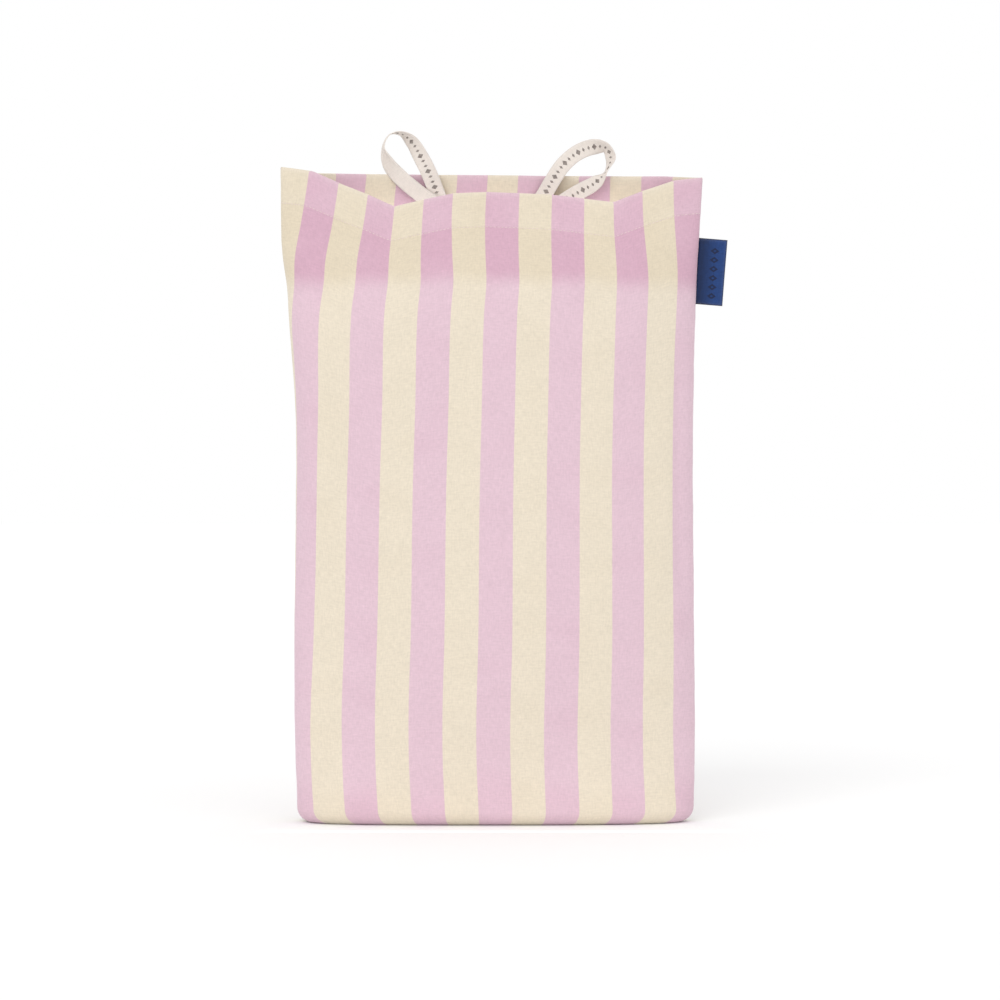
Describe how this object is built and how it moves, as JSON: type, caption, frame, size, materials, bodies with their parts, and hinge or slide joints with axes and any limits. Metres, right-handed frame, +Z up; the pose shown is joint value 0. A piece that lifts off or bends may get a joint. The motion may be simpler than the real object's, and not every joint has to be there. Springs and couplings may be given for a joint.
{
  "type": "laundry bag",
  "caption": "Tall soft cotton bag with broad vertical stripes, an open hemmed mouth, tape hanging loops and a folded side label, standing on a flat base.",
  "frame": {"origin": "middle of the base, on the surface the bag stands on", "axes": "+Z up towards the mouth, -Y out of the front panel, +X towards the labelled side"},
  "size_m": [0.4176, 0.1121, 0.6433],
  "materials": {
    "striped_cotton": "woven cotton, broad lilac and cream stripes",
    "thread": "pale sewing thread",
    "tape": "ecru cotton tape with a small printed pattern on one face",
    "label": "navy woven label"
  },
  "bodies": {
    "bag": {"front_panel": "striped_cotton", "back_panel": "striped_cotton", "back_hem": "striped_cotton", "back_hem_stitching": "thread", "left_side_seam": "striped_cotton", "right_side_seam": "striped_cotton", "left_corner_seam": "striped_cotton", "right_corner_seam": "striped_cotton", "base_seam": "striped_cotton", "left_seam_overlock": "thread", "right_seam_overlock": "thread", "base_seam_overlock": "thread", "left_loop_first_tail": "tape", "left_loop_second_tail": "tape", "left_loop_tack": "thread", "right_loop_first_tail": "tape", "right_loop_second_tail": "tape", "right_loop_tack": "thread"},
    "front_mouth": {"front_hem": "striped_cotton", "front_hem_stitching": "thread"},
    "left_loop": {"left_loop": "tape"},
    "right_loop": {"right_loop": "tape"},
    "side_label": {"side_label": "label"}
  },
  "joints": [
    {"name": "mouth_opening", "type": "slide", "parent": "bag", "child": "front_mouth", "axis": [0, -1, 0], "range_m": [0, 0.045]},
    {"name": "left_loop_fold", "type": "hinge", "parent": "bag", "child": "left_loop", "pos_m": [0, 0.018, 0.611], "axis": [1, 0, 0], "range_deg": [-90, 90]},
    {"name": "right_loop_fold", "type": "hinge", "parent": "bag", "child": "right_loop", "pos_m": [0, 0.018, 0.611], "axis": [1, 0, 0], "range_deg": [-90, 90]},
    {"name": "side_label_flap", "type": "hinge", "parent": "bag", "child": "side_label", "pos_m": [0.1884, 0, 0.4805], "axis": [0.0797, 0, 0.9968], "range_deg": [-85, 85]}
  ]
}
